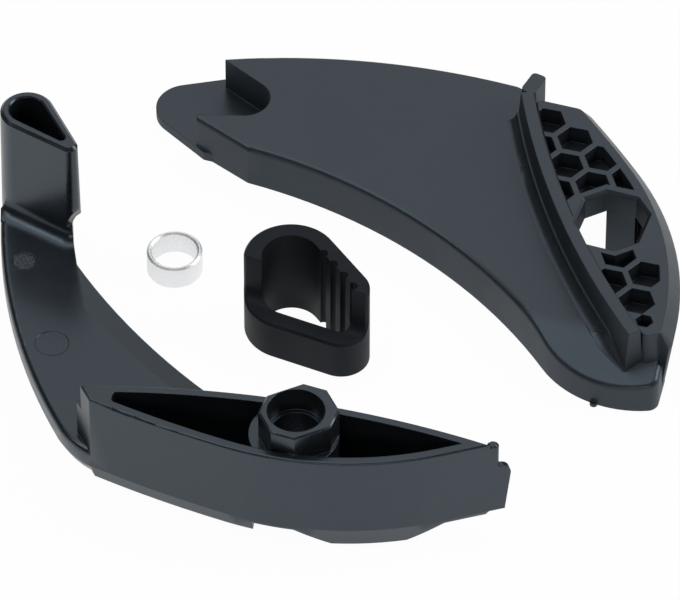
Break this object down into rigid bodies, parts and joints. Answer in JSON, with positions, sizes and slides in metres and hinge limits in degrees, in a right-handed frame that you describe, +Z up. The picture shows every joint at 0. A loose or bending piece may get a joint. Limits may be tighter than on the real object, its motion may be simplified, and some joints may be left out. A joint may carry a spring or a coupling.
{
  "type": "bicycle chain guide",
  "caption": "Lower chain guide taken apart: curved outer half with post and walled pocket, inner plate with honeycomb pad and socket, rubber chain sleeve and collar.",
  "frame": {"origin": "middle of the laid-out set's bounding box in plan, on the table", "axes": "+Z up from the table, +X to the right and +Y away from the viewer as in the picture"},
  "size_m": [0.1214, 0.1148, 0.0304],
  "materials": {
    "guide_plastic": "satin black moulded plastic with polished walls",
    "plate_plastic": "satin black moulded plastic",
    "sleeve_rubber": "matt black moulded rubber",
    "collar_aluminium": "bright turned aluminium"
  },
  "bodies": {
    "root": {"outer_guide": "guide_plastic", "inner_plate": "plate_plastic", "chain_sleeve": "sleeve_rubber", "collar_ring": "collar_aluminium"}
  },
  "joints": []
}
